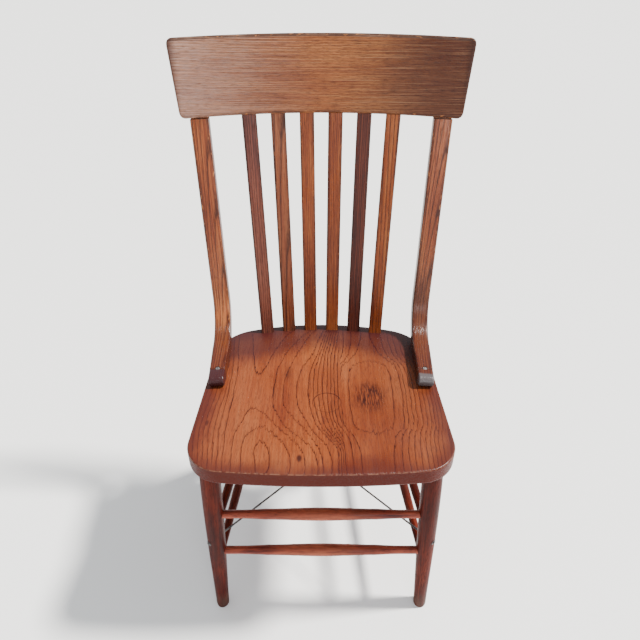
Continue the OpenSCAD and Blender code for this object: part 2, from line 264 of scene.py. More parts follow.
def counterbored(mesh, node, side, mouth_z):
    """Cuts the hole for a screw's head on one side, in from the surface at mouth_z."""
    points = node_points(node)
    points = points[points[:, 0] * side > 0]
    x, y, z = middle_of(points)
    into = -1 if mouth_z > z else 1
    floor_z = points[:, 2].max() - screw_head_h if into < 0 else points[:, 2].min() + screw_head_h
    reach = abs(floor_z - mouth_z) + 10 * mm
    drill_mesh = bpy.data.meshes.new("drill")
    bm = bmesh.new()
    bmesh.ops.create_cone(bm, cap_ends=True, segments=40, radius1=screw_bore_r, radius2=screw_bore_r,
                          depth=reach, matrix=Matrix.Translation((x, y, floor_z - into * reach / 2)))
    bm.to_mesh(drill_mesh)
    bm.free()
    blank, drill = placed("blank", mesh), placed("drill", drill_mesh)
    cut = blank.modifiers.new("holes", "BOOLEAN")
    cut.operation, cut.solver, cut.object = "DIFFERENCE", "EXACT", drill
    bpy.context.view_layer.update()
    result = bpy.data.meshes.new_from_object(blank.evaluated_get(bpy.context.evaluated_depsgraph_get()))
    bpy.data.objects.remove(blank)
    bpy.data.objects.remove(drill)
    return result


# ---------- seat ----------

def seat_half_outline():
    """From the middle of the front edge to the middle of the back edge, with a straight tapering side."""
    half_w = seat_high.x
    front, back = seat_low.y, seat_high.y
    fx = half_w - front_corner_r
    fa = math.degrees(math.asin(fx / (front_bow_r - front_corner_r)))
    fy = front + front_bow_r - (front_bow_r - front_corner_r) * math.cos(math.radians(fa))
    bx = seat_back_half - back_corner_r
    ba = math.degrees(math.asin(bx / (back_bow_r - back_corner_r)))
    by = back - back_bow_r + (back_bow_r - back_corner_r) * math.cos(math.radians(ba))
    side = math.degrees(math.atan2(by - fy, bx - fx)
                        - math.acos((front_corner_r - back_corner_r) / math.hypot(bx - fx, by - fy)))
    return (arc((0, front + front_bow_r), front_bow_r, -90, fa - 90, 60)
            + arc((fx, fy), front_corner_r, fa - 90, side, 60)
            + arc((bx, by), back_corner_r, side, 90 - ba, 60)
            + arc((0, back - back_bow_r), back_bow_r, 90 - ba, 90, 60))


def dish(x, y):
    """Depth of the seat's hollow: two overlapping shallow bowls that fade into the rim."""
    bowls = [dish_depth - ((x - s * dish_x) ** 2 + (y - seat_mid_y - dish_y) ** 2) / (2 * dish_r)
             for s in (-1, 1)]
    soft, fade = 6 * mm, 1.2 * mm
    both = np.logaddexp(bowls[0] / soft, bowls[1] / soft) * soft - 0.5 * soft
    return np.logaddexp(both / fade, 0) * fade


def seat_full_outline():
    half = seat_half_outline()
    return resampled(half + [(-x, y) for x, y in half[::-1]], 3.2 * mm)


def seat_blank():
    """The whole seat as one closed mesh, before it is cut along its glue lines."""
    outline = seat_full_outline()
    normal = outward_normals(outline)
    centre = np.array([0, seat_mid_y])

    def ring(inset, share, z):
        flat = centre + (outline - normal * inset - centre) * share
        return np.column_stack([flat, np.broadcast_to(z, len(flat))])

    shares = 1 - np.linspace(0.985, 0, 46) ** 1.25
    rings = []
    for share in shares:
        top = ring(arris_r, share, 0)
        worn = np.clip((share - 0.93) / 0.07, 0, 1) ** 2 * rim_wear
        top[:, 2] = seat_top - dish(top[:, 0], top[:, 1]) - worn
        rings.append(top)
    rim = seat_top - dish(*outline.T) - rim_wear
    for angle in np.radians([15, 30, 45, 60, 75, 90]):
        rings.append(ring(arris_r * (1 - math.sin(angle)), 1, rim - arris_r * (1 - math.cos(angle))))
    for level in (0.3, 0.6, 0.9):
        rings.append(ring(0, 1, (rim - arris_r) * (1 - level) + (seat_under + under_arris_r) * level))
    for angle in np.radians([0, 20, 40, 60, 80, 90]):
        inset, drop = under_arris_r * (1 - math.cos(angle)), under_arris_r * (1 - math.sin(angle))
        rings.append(ring(inset, 1, seat_under + drop))
    for share in shares[::-3]:
        rings.append(ring(under_arris_r, share, seat_under))
    return loft("seat", rings)


def seat_board_mesh(index, blank):
    low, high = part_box(f"seat_board_{BOARDS[index]}")
    planes = []
    if index > 0:
        planes.append(((low.x, 0, 0), (-1, 0, 0)))
    if index < len(BOARDS) - 1:
        planes.append(((high.x, 0, 0), (1, 0, 0)))
    return sliced(blank.copy(), planes)


# ---------- crest rail, slats and posts ----------

def crest_bow(u):
    """How far forward the rail's front face lies at u, below zero away from its middle."""
    return np.sqrt(crest_r ** 2 - u ** 2) - crest_r


def crest_mesh():
    """Upright sections from end to end, each a rounded rectangle that shrinks into the rounded ends."""
    edge_r = crest_edge_r
    insets = [0, 0.15, 0.5, 1.1, 1.9, 2.8, 3.6, 5, 7, 10]   # of the end sections, in mm
    ends = [i * mm / crest_top_half for i in insets]
    shares = [s - 1 for s in ends] + list(np.linspace(-0.93, 0.93, 61)) + [1 - s for s in ends[::-1]]
    rings = []
    for share in shares:
        inset = (1 - abs(share)) * crest_top_half
        corner = crest_corner_r - math.sqrt(max(crest_corner_r ** 2 - max(crest_corner_r - inset, 0) ** 2, 0))
        thin = edge_r - math.sqrt(max(edge_r ** 2 - max(edge_r - inset, 0) ** 2, 0))
        half_v = crest_h / 2 - corner
        half_w = crest_t / 2 - thin * 0.97
        section = rounded_rectangle(half_v, half_w, min(edge_r, half_w * 0.9))
        v = section[:, 0] + crest_h / 2
        u = share * (crest_low_half + (crest_top_half - crest_low_half) * v / crest_h)
        v = v - crest_rise * share ** 2
        w = section[:, 1] + crest_t / 2 + crest_bow(u)
        rings.append(crest_place(u, v, w))
    return loft("crest_rail", rings)


def crest_place(u, v, w):
    return np.column_stack([
        np.broadcast_to(u, np.shape(v)),
        crest_y + v * math.sin(lean) + w * math.cos(lean),
        crest_z + v * math.cos(lean) - w * math.sin(lean)])


def crest_grain(points):
    """Along the rail, up its face, and through it, undoing its lean and its curve."""
    y, z = points[:, 1] - crest_y, points[:, 2] - crest_z
    v = y * math.sin(lean) + z * math.cos(lean)
    w = y * math.cos(lean) - z * math.sin(lean)
    return np.column_stack([v, points[:, 0], w - crest_bow(points[:, 0])])


def slat_mesh(node):
    start, end, along, across = axis_of(node)
    through = np.cross(across, along)
    section = rounded_rectangle(slat_w / 2, slat_t / 2, slat_edge_r)
    ring = np.outer(section[:, 0], across) + np.outer(section[:, 1], through)
    rings = [start + (end - start) * share + ring for share in np.linspace(0, 1, 25)]
    mesh = loft(node, rings)
    return mesh, in_frame(coordinates(mesh), start, across, along)


def front_y(z):
    """The bent posts' front face, above their bend."""
    return post_front_y - (crest_z - z) * math.tan(lean)


def half_width(y):
    """Half of a post's width, which narrows towards its toe."""
    share = np.clip((y - post_nose_y) / (post_taper_y - post_nose_y), 0, 1)
    return (toe_w + (post_w - toe_w) * share) / 2


def set_out(points, side):
    """Turns a post's toe inward and leans its upright outward about its foot, on its own side."""
    x, y, z = points[:, 0], points[:, 1] - heart_y, points[:, 2] - seat_top
    turned = x * math.cos(post_turn) + y * math.sin(post_turn)
    return np.column_stack([
        side * (post_x + turned * math.cos(post_tilt) + z * math.sin(post_tilt)),
        heart_y - x * math.sin(post_turn) + y * math.cos(post_turn),
        seat_top - turned * math.sin(post_tilt) + z * math.cos(post_tilt)])


def set_back(points, side):
    """Undoes set_out."""
    x, y, z = points[:, 0] * side - post_x, points[:, 1] - heart_y, points[:, 2] - seat_top
    turned = x * math.cos(post_tilt) - z * math.sin(post_tilt)
    return np.column_stack([
        turned * math.cos(post_turn) - y * math.sin(post_turn),
        heart_y + turned * math.sin(post_turn) + y * math.cos(post_turn),
        seat_top + x * math.sin(post_tilt) + z * math.cos(post_tilt)])


bend_z = seat_top + post_t + post_bend_r
bend_y = front_y(bend_z) - post_bend_r / math.cos(lean)


def post_stations():
    """Pairs of points, [y, z], on the front and back of a bent post, from its nose to its top."""
    nose_r = post_t / 2
    pairs = []
    for angle in np.radians([4, 15, 28, 42, 56, 70, 80, 90]):
        y = post_nose_y + nose_r * (1 - math.cos(angle))
        rise = nose_r * math.sin(angle)
        pairs.append(((y, seat_top + nose_r + rise), (y, seat_top + nose_r - rise)))
    top = seat_top + post_t
    # the groove's (place, depth), in mm
    groove = [(-5, 0), (-3.2, 0.15), (-2, 0.55), (-1.1, 1.3), (-0.4, 2.1), (0.3, 2.2), (0.8, 1.6),
              (1.3, 0.5), (2, 0), (4, 0)]
    for step, depth in groove:
        y = post_groove_y + step * mm
        pairs.append(((y, top - depth * mm), (y, seat_top - post_embed)))
    for y in np.linspace(post_groove_y + 7 * mm, bend_y, 12):
        pairs.append(((y, top), (y, seat_top - (post_embed if y < bend_y - 20 * mm else 0))))
    for angle in np.radians(np.linspace(-90, -math.degrees(lean), 31))[1:]:
        direction = np.array([math.cos(angle), math.sin(angle)])
        centre = np.array([bend_y, bend_z])
        pairs.append((centre + direction * post_bend_r, centre + direction * (post_bend_r + post_t)))
    facing = np.array([math.cos(lean), -math.sin(lean)])
    start = pairs[-1][0]
    shoulder = np.array([front_y(crest_z - shoulder_gap), crest_z - shoulder_gap])
    top_front = np.array([front_y(post_top_z), post_top_z])
    for share in np.linspace(0, 1, 26)[1:]:
        front = np.array(start) * (1 - share) + shoulder * share
        pairs.append((front, front + facing * post_t))
    lap = facing * (post_t - tongue_t)
    for share in np.linspace(0, 1, 8):
        front = shoulder * (1 - share) + top_front * share + lap
        pairs.append((front, front + facing * tongue_t))
    up = np.array([math.sin(lean), math.cos(lean)])
    last = pairs.pop()[0]
    for back, drop in ((0, 7), (1.5, 4.6), (4, 1.6), (7, 0)):   # the rounded top, in mm
        pairs.append((last, last + facing * (tongue_t - back * mm) - up * drop * mm))
    return pairs


def post_mesh(side):
    """A bent post: rounded nose, V groove, toe, bend, upright and the tongue lapped behind the rail."""
    rings = []
    for front, back in post_stations():
        front, back = np.array(front), np.array(back)
        depth = np.linalg.norm(back - front)
        radius = min(post_edge_r, depth * 0.42)
        section = rounded_rectangle(post_w / 2, depth / 2, radius)
        facing = (front - back) / depth
        middle = (front + back) / 2
        flat = middle + np.outer(section[:, 1], facing)
        across = section[:, 0] * half_width(flat[:, 0]) / (post_w / 2)
        rings.append(set_out(np.column_stack([across, flat]), side))
    return loft("post", rings)


def post_grain(points, side):
    """Across, along and through a bent post: the grain follows its bend."""
    across, y, z = set_back(points, side).T
    angle = np.arctan2(z - bend_z, y - bend_y)
    distance = np.hypot(z - bend_z, y - bend_y)
    turned = np.clip(angle + math.pi / 2, 0, math.pi / 2 - lean)
    toe = y < bend_y
    upright = ~toe & (angle > -lean)
    mid_r = post_bend_r + post_t / 2
    along = bend_y - post_nose_y + turned * mid_r
    along = np.where(toe, y - post_nose_y, along)
    rise = (y - bend_y) * math.sin(lean) + (z - bend_z) * math.cos(lean)
    along = np.where(upright, along + rise, along)
    out = (y - bend_y) * math.cos(lean) - (z - bend_z) * math.sin(lean)
    through = np.where(toe, bend_z - z, np.where(upright, out, distance)) - mid_r
    return np.column_stack([across, along, through])


# ---------- legs, stretchers and wires ----------

def turned_mesh(name, start, end, profile, segments, planes=()):
    """A turned piece, cut by planes, and its places in its own wood.

    profile gives (distance from start along the axis, radius)."""
    start, end = np.array(start), np.array(end)
    along = (end - start) / np.linalg.norm(end - start)
    across = np.cross(along, (0, 1, 0) if abs(along[1]) < 0.7 else (0, 0, 1))
    across /= np.linalg.norm(across)
    through = np.cross(across, along)
    angles = np.linspace(0, 2 * math.pi, segments, endpoint=False)
    circle = np.outer(np.cos(angles), across) + np.outer(np.sin(angles), through)
    mesh = loft(name, [start + along * at + circle * max(radius, 0.05 * mm) for at, radius in profile])
    if planes:
        mesh = sliced(mesh, planes)
    return mesh, in_frame(coordinates(mesh), start, across, along)


def leg_axis(node):
    """Middle of a leg's foot on the floor and of its tenon's top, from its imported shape."""
    points = node_points(node)
    foot = middle_of(points[points[:, 2] < 0.5 * mm])
    top = middle_of(points[points[:, 2] > points[:, 2].max() - 7 * mm])
    return foot, top


def leg_radius(at):
    if at < leg_swell_z:
        return foot_r + (leg_r - foot_r) * math.sin(math.pi / 2 * at / leg_swell_z) ** 1.3
    return leg_r - (leg_r - leg_top_r) * ((at - leg_swell_z) / (seat_under - leg_swell_z)) ** 2


def leg_mesh(node):
    foot, top = leg_axis(node)
    # (height, wear of the radius), in mm
    worn_foot = [(-6, -5), (-3.2, -2.6), (-1.5, -1.5), (1, -0.7), (4, -0.2), (8, 0)]
    profile = [(at * mm, foot_r + cut * mm) for at, cut in worn_foot]
    profile += [(at, leg_radius(at)) for at in np.linspace(12 * mm, seat_under + leg_tenon_l, 50)]
    return turned_mesh(node, foot, top, profile, 48, [((0, 0, 0), (0, 0, -1))])


def stretcher_mesh(node, full_r):
    start, end = axis_of(node)[:2]
    half = np.linalg.norm(end - start) / 2
    at = np.linspace(0, 2 * half, 121)
    swell = smooth_curve(rung_shape, np.abs(at - half) / half)
    profile = list(zip(at, rung_end_r + (full_r - rung_end_r) * swell))
    return turned_mesh(node, start, end, profile, 40)


def wire_mesh(node):
    """A brace wire with a peened head at each end."""
    start, end = axis_of(node)[:2]
    length = np.linalg.norm(end - start)
    # the head's (distance, radius), in mm
    head = [(0, 0.1), (0.15, 1.5), (0.5, 2.3), (1, 2.8), (1.6, 3), (2.1, 2.9), (2.3, 2.2), (2.6, 1.8)]
    profile = [(at * mm, radius * mm) for at, radius in head]
    profile += [(at, wire_r) for at in np.linspace(10 * mm, length - 10 * mm, 12)]
    profile += [(length - at * mm, radius * mm) for at, radius in head[::-1]]
    return turned_mesh(node, start, end, profile, 24)


# ---------- the seat's figure ----------

# Where the boldest growth rings of the left-hand boards cross the seat, as (y, x) in mm from the
# middle of the chair: ring 1 bounds an arched figure on its left and right
heart_line = [(-195, -95), (-137, -100), (-102, -99), (-57, -118), (0, -122), (40, -116), (150, -110)]
ring_left = [(-195, -155), (-150, -157), (-110, -161), (-20, -158), (35, -158), (80, -160), (120, -165),
             (190, -168)]
# Further right, each ring's x at the heights ring_y
ring_y = (-195, -150, -100, -50, 0, 50, 100, 150, 190)
rings_right = {
    1: (-6, -17, -62, -85, -87, -84, -68, -38, -10),
    2: (2, -5, -33, -66, -71, -63, -46, -26, -2),
    3: (16, 10, -20, -41, -46, -39, -17, -2, 8),
    4: (27, 25, -7, -20, -24, -21, -7, 5, 14),
    8: (43, 41, 20, 12, 10, 10, 14, 22, 28),
    12: (71, 66, 43, 36, 36, 36, 40, 44, 48),
}
# How many rings the arches inside ring 1 reach down to, at heights y along the heart
arch_depth = [(-195, 3.15), (-137, 3.0), (-102, 2.0), (-57, 1.0), (-20, 0.55), (0, 0.5), (37, 1.0), (90, 1.3),
              (150, 1.6), (190, 2.0)]
# The right-hand figure is a closed oval about oval_x. oval_width is the squared half width of its
# ring at y; oval_rings gives the ring number for how far (x - oval_x) squared passes that
oval_x = 90
oval_width = [(-195, -850), (-145, -650), (-115, 0), (-104, 750), (-60, 1300), (0, 1500), (45, 1250),
              (62, 750), (72, 0), (85, -700), (115, -1250), (190, -1400)]
oval_rings = [(-1500, -0.6), (0, 0), (1472, 1), (2277, 2), (3317, 3), (4332, 4), (5612, 5), (7020, 6),
              (15000, 11)]
ring_rise = 0.11   # rings crossed per mm of depth
# Marks in the seat: a dark patch, knots (place, radii, softness, strength) and a round trace
patch_at, patch_r = (88, -24), (27, 36)
knots_at = [((-35, -171), (4, 7), 0.5, 0.9), ((-194, -94), (3, 6), 0.5, 0.7), ((-62, 40), (6, 17), 0.8, 0.5)]
trace_at, trace_r = (10, -38), 25


def seat_rings(board, x, y):
    """The growth ring, as a running number, at points in mm on a seat board."""
    y = np.clip(y, ring_y[0], ring_y[-1])
    if board >= 2:
        spread = (x - oval_x) ** 2 - smooth_curve(oval_width, y)
        return smooth_curve(oval_rings, np.clip(spread, oval_rings[0][0], oval_rings[-1][0]))
    left, heart = smooth_curve(ring_left, y), smooth_curve(heart_line, y)
    if board == 0:
        return 1.4 + (left - x) / 8.2 + 0.6 * np.sin(y / 70)
    places = np.array([smooth_curve(zip(ring_y, ring_x), y) for ring_x in rings_right.values()])
    numbers = list(rings_right)
    ring = np.full(len(x), float(numbers[-1]))
    for i in range(len(numbers) - 1):
        share = (x - places[i]) / (places[i + 1] - places[i])
        between = (x >= places[i]) & (x < places[i + 1])
        ring = np.where(between, numbers[i] + share * (numbers[i + 1] - numbers[i]), ring)
    beyond = x >= places[-1]
    ring = np.where(beyond, numbers[-1] + (x - places[-1]) / 6, ring)
    side = np.where(x > heart, (x - heart) / (places[0] - heart), (heart - x) / (heart - left))
    arches = 1 - smooth_curve(arch_depth, y) * (1 - np.abs(side) ** 1.5)
    ring = np.where(x < places[0], arches, ring)
    return np.where(x < left, 1 + (left - x) / 9, ring)


def seat_attributes(mesh, board):
    """Places in the board, growth rings and their steps per mm, and distance from the rim."""
    points = coordinates(mesh)
    grain = points - np.array([0, heart_y, seat_top])
    x, y, _ = (grain / mm).T
    below = seat_top - dish(points[:, 0], points[:, 1]) - points[:, 2]
    deep = np.clip(below / mm, 0, 32)
    here = seat_rings(board, x, y)
    near = 1.5
    step = np.column_stack([
        (seat_rings(board, x + near, y) - seat_rings(board, x - near, y)) / (2 * near),
        (seat_rings(board, x, y + near) - seat_rings(board, x, y - near)) / (2 * near),
        np.full(len(x), ring_rise)])
    outline = seat_full_outline()
    gap = np.min(np.hypot(points[:, :1] - outline[:, 0], points[:, 1:2] - outline[:, 1]), axis=1)
    set_attribute(mesh, "grain", grain)
    set_attribute(mesh, "ring", here + deep * ring_rise)
    set_attribute(mesh, "ring_step", np.clip(step, -0.6, 0.6))
    set_attribute(mesh, "edge", gap)
    set_attribute(mesh, "side", np.clip((below - 1.2 * mm) / (2.6 * mm), 0, 1))


# ---------- materials ----------

def maths(operation):
    """A method that adds a maths node to a value."""
    return lambda value, *others: value.look.node("ShaderNodeMath", value, *others, operation=operation)


class Value:
    """An output of a shader node; arithmetic on it adds nodes."""

    def __init__(self, look, socket):
        self.look, self.socket = look, socket

    def __rsub__(self, other):
        return self.look.node("ShaderNodeMath", other, self, operation="SUBTRACT")

    __add__ = __radd__ = maths("ADD")
    __mul__ = __rmul__ = maths("MULTIPLY")
    __sub__, __truediv__, power = maths("SUBTRACT"), maths("DIVIDE"), maths("POWER")
    least, most = maths("MINIMUM"), maths("MAXIMUM")
    size, fraction = maths("ABSOLUTE"), maths("FRACT")


class Look:
    """A material made of nodes."""

    def __init__(self, name):
        self.material = bpy.data.materials.new(name)
        self.material.use_nodes = True
        self.tree = self.material.node_tree
        self.surface = self.tree.nodes["Principled BSDF"]

    def node(self, kind, *inputs, out=0, named=None, **settings):
        """Adds a node. Inputs are Values or constants, in order, and by name in named."""
        node = self.tree.nodes.new(kind)
        for name, value in settings.items():
            setattr(node, name, value)
        for key, value in list(enumerate(inputs)) + list((named or {}).items()):
            self.join(node.inputs[key], value)
        return Value(self, node.outputs[out])

    def join(self, socket, value):
        if isinstance(value, Value):
            self.tree.links.new(value.socket, socket)
        else:
            socket.default_value = value

    def finish(self, **named):
        """Sets the surface's inputs and gives the material."""
        for name, value in named.items():
            self.join(self.surface.inputs[name.replace("_", " ")], value)
        return self.material

    def attribute(self, name):
        return self.node("ShaderNodeAttribute", attribute_name=name, out="Vector")

    def number(self, name):
        return self.node("ShaderNodeAttribute", attribute_name=name, out="Fac")

    def parts(self, vector):
        node = self.tree.nodes.new("ShaderNodeSeparateXYZ")
        self.join(node.inputs[0], vector)
        return [Value(self, socket) for socket in node.outputs]

    def stretched(self, vector, scale, shift=(0, 0, 0)):
        return self.node("ShaderNodeVectorMath", vector, scale, shift, operation="MULTIPLY_ADD")

    def noise(self, vector, scale, shift=(0, 0, 0), detail=2.0, rough=0.5):
        """Noise from 0 to 1 about 0.5, with features 1 / scale long on each axis."""
        return self.node("ShaderNodeTexNoise", named={
            "Vector": self.stretched(vector, scale, shift), "Scale": 1.0, "Detail": detail,
            "Roughness": rough})

    def step(self, value, low, high, to=(0.0, 1.0)):
        """A smooth step of value from low to high."""
        return self.node("ShaderNodeMapRange", value, low, high, *to, interpolation_type="SMOOTHSTEP")

    def mix(self, share, a, b):
        return self.node("ShaderNodeMix", out=2, data_type="RGBA", named={0: share, 6: a, 7: b})

    def ramp(self, value, stops):
        node = self.tree.nodes.new("ShaderNodeValToRGB")
        self.join(node.inputs[0], value)
        elements = node.color_ramp.elements
        while len(elements) < len(stops):
            elements.new(1.0)
        for element, (at, colour) in zip(elements, stops):
            element.position, element.color = at, colour
        return Value(self, node.outputs[0])

    def bump(self, height, distance, strength):
        return self.node("ShaderNodeBump", named={
            "Strength": strength, "Distance": distance, "Height": height})


wood_dimming = 0.44   # for the strong light here


def srgb(red, green, blue):
    """A shader colour from values of 0 to 255."""
    return tuple(((c / 255 + 0.055) / 1.055) ** 2.4 for c in (red, green, blue)) + (1.0,)


def wood(red, green, blue):
    """A wood's shader colour from values of 0 to 255."""
    return tuple(c * wood_dimming for c in srgb(red, green, blue)[:3]) + (1.0,)


# Shader colours of marks on the wood
tints = {name: wood(*tone) for name, tone in {
    "shade": (132, 62, 34), "left": (136, 58, 36), "ring": (62, 20, 14), "mark": (64, 24, 20),
    # stain is painted shadow along the seat's back, side painted shade on its rim's sides and underside, bare
    # pale wear that is partly a painted highlight on its front arris
    "grime": (92, 34, 30), "stain": (66, 26, 36), "side": (104, 34, 22), "bare": (214, 160, 126),
    # varnish is painted shade over the crest's right half, rubbed painted glare over its left half
    "varnish": (84, 36, 26), "rubbed": (246, 206, 190), "hairline": (250, 190, 140),
    "corner": (150, 124, 108), "flank": (84, 38, 38),
}.items()}
relief = 0.35 * mm   # of the grain


def ring_lines(look, ring, rate, line=1.5):
    """Dark early wood: sharp on one side, fading on the other, about line mm wide."""
    share = (rate * line).least(0.42).most(0.05) if isinstance(rate, Value) else rate * line
    place = ring.fraction() / share
    fall = look.step(place, 0.5, 1.4, (0.7, 0.0)) + look.step(place, 0.6, 3.0, (0.3, 0.0))
    return look.step(place, 0.0, 0.3) * fall


def pores(look, grain):
    """Open pores of oak, short dark ticks along the grain."""
    fine = look.noise(grain, (900, 70, 900), rough=0.6)
    clumps = look.noise(grain, (260, 22, 260), (3, 1, 7))
    return look.step(fine + clumps * 0.35, 0.68, 0.84)


def varnish(look, grain, scale, ticks, worn):
    """Roughness of old varnish, more in pores and where it is worn."""
    cloudy = look.noise(grain, scale, (8, 8, 8), detail=4.0)
    return look.step(cloudy, 0.3, 0.75, (0.24, 0.42)) + ticks * 0.1 + worn * 0.2


def in_mm(look):
    """Places in the piece's own board, as three values in mm."""
    return [part * 1000.0 for part in look.parts(look.attribute("grain"))]


def blob(look, x, y, centre, radii, soft=0.5):
    """A soft-edged oval mark, 1 at its middle."""
    dx = (x - centre[0]) / radii[0]
    dy = (y - centre[1]) / radii[1]
    return look.step((dx * dx + dy * dy).power(0.5), 1.0 - soft, 1.0 + soft, (1.0, 0.0))


def seat_material():
    look = Look("oak_seat")
    grain = look.attribute("grain")
    x, y, _ = in_mm(look)
    step_x, step_y, _ = look.parts(look.attribute("ring_step"))
    rate = (step_x * step_x + step_y * step_y).power(0.5)
    feather = look.noise(grain, (520, 26, 260), (3, 3, 3)) - 0.5
    sway = look.noise(grain, (60, 26, 60), (7, 1, 2)) - 0.5
    ring = look.number("ring") + step_y * feather * 22.0 + step_x * sway * 5.0
    # a flecked dark patch inside the oval figure, and knots
    fleck = look.step(look.noise(grain, (700, 55, 700), (4, 4, 4)), 0.4, 0.56)
    patch = blob(look, x, y, patch_at, patch_r) * fleck * 0.95
    for centre, radii, soft, strength in knots_at:
        patch = patch.most(blob(look, x, y, centre, radii, soft) * strength)
    # the worn trace of a round foot
    dx, dy = x - trace_at[0], y - trace_at[1]
    trace = look.step(((dx * dx + dy * dy).power(0.5) - trace_r).size(), 0.2, 1.5, (1.0, 0.0))
    broken = look.step(look.noise(grain, (90, 90, 90), (6, 2, 2)), 0.2, 0.45)
    trace = trace * (look.step(y, -36.0, -24.0) * 0.55 + 0.4) * broken
    # grime near the rim, painted shadow along the back, painted shade on the rim's sides and underside, and
    # pale wear with a painted highlight on the front arris
    rim = look.number("edge") * 1000.0
    cloud = look.noise(grain, (14, 14, 14), (1, 5, 5), detail=3.0)
    grime = look.step(rim - cloud * 60.0, -28.0, 16.0, (0.75, 0.0))
    # painted shadow along the back of the seat, reaching further forward towards its back corners
    back = look.step(y + x.size() * 0.35 + cloud * 40.0, 112.0, 172.0, (0.0, 0.72))
    # side is 1 on the rim's sides and underside, which take painted shade
    side = look.number("side")
    # pale worn nicks on the arris, strongest at the front, where they are also a painted highlight along the
    # front edge
    nicks = look.step(look.noise(grain, (190, 190, 190), (2, 6, 1)), 0.42, 0.58)
    worn = look.step(rim, 0.2, 1.8, (1.0, 0.0)) * look.step(side, 0.6, 0.1) * nicks
    worn = worn * look.step(y, 60.0, -150.0, (0.1, 0.5))

    broad = look.noise(grain, (9, 3, 9), (5, 3, 1), detail=3.0)
    streaks = look.noise(grain, (240, 7, 240), (1, 2, 3), detail=3.0, rough=0.6)
    tone = look.step(broad, 0.3, 0.72) * 0.6 + look.step(streaks, 0.25, 0.75) * 0.4
    colour = look.ramp(tone, [(0.12, wood(146, 66, 34)), (0.5, wood(180, 94, 50)), (0.9, wood(200, 116, 68))])
    colour = look.mix(look.step(x, -40.0, 190.0, (0.0, 0.5)), colour, tints["shade"])
    colour = look.mix(look.step(x, -20.0, -160.0, (0.0, 0.35)), colour, tints["left"])
    lines = ring_lines(look, ring, rate)
    breaks = look.noise(grain, (900, 60, 900), (2, 9, 4))
    strength = lines * look.step(breaks, 0.25, 0.6, (0.5, 1.0))
    strength = strength * look.step(x.size(), 120.0, 200.0, (1.0, 0.8))
    colour = look.mix(strength, colour, tints["ring"])
    ticks = pores(look, grain)
    colour = look.mix(ticks * (lines * 0.3 + 0.4), colour, tints["ring"])
    colour = look.mix(patch.most(trace), colour, tints["mark"])
    # grime, then painted shadow along the back (stain), painted shade on the sides (side), and pale wear that
    # is partly a painted highlight (bare)
    for share, tint in ((grime, "grime"), (back, "stain"), (side * 0.85, "side"), (worn, "bare")):
        colour = look.mix(share, colour, tints[tint])
    roughness = varnish(look, grain, (22, 12, 22), ticks, worn)
    height = look.noise(grain, (60, 16, 60), detail=3.0) * 0.6 - ticks * 0.6 - lines * 0.35 - trace * 0.4
    return look.finish(Base_Color=colour, Roughness=roughness, Normal=look.bump(height, relief, 0.5),
                       Specular_IOR_Level=0.24 - side * 0.19)


